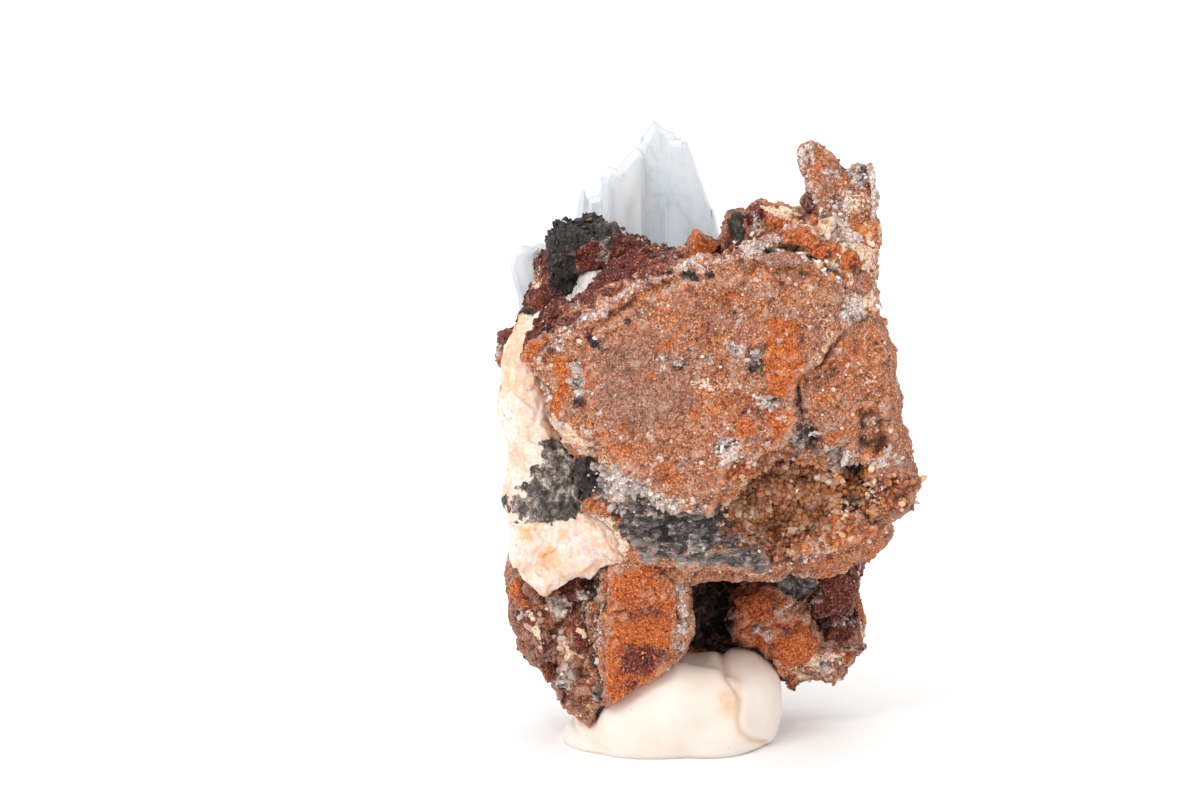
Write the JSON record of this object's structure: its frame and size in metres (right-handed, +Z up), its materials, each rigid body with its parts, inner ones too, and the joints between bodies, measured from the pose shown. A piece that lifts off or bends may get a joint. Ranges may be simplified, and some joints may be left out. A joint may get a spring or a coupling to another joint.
{
  "type": "mineral specimen",
  "caption": "Pale blue bladed barite crystals on iron-stained sandy rock with a white calcite vein and a quartz-lined hollow, standing upright in a flat-bottomed wad of mounting putty.",
  "frame": {"origin": "middle of the specimen's bounding box, on the surface that the putty stands on", "axes": "+Z up, -Y towards the viewer of the pictured side, +X to that viewer's right"},
  "size_m": [0.032, 0.0216, 0.0474],
  "materials": {
    "iron_stained_rock": "rough sandy rock, iron-stained orange to red-brown, with black crust",
    "white_calcite": "cleaved white to cream spar",
    "quartz_druse": "small clear crystals, iron-stained amber",
    "blue_barite": "pale blue, see-through at the edges, silky lengthwise",
    "mounting_putty": "smooth cream putty, faintly stained at the fold"
  },
  "bodies": {
    "root": {"matrix_rock": "iron_stained_rock", "white_vein": "white_calcite", "quartz_druse": "quartz_druse", "barite_fan": "blue_barite", "barite_side_crystal": "blue_barite", "mounting_putty": "mounting_putty"}
  },
  "joints": []
}
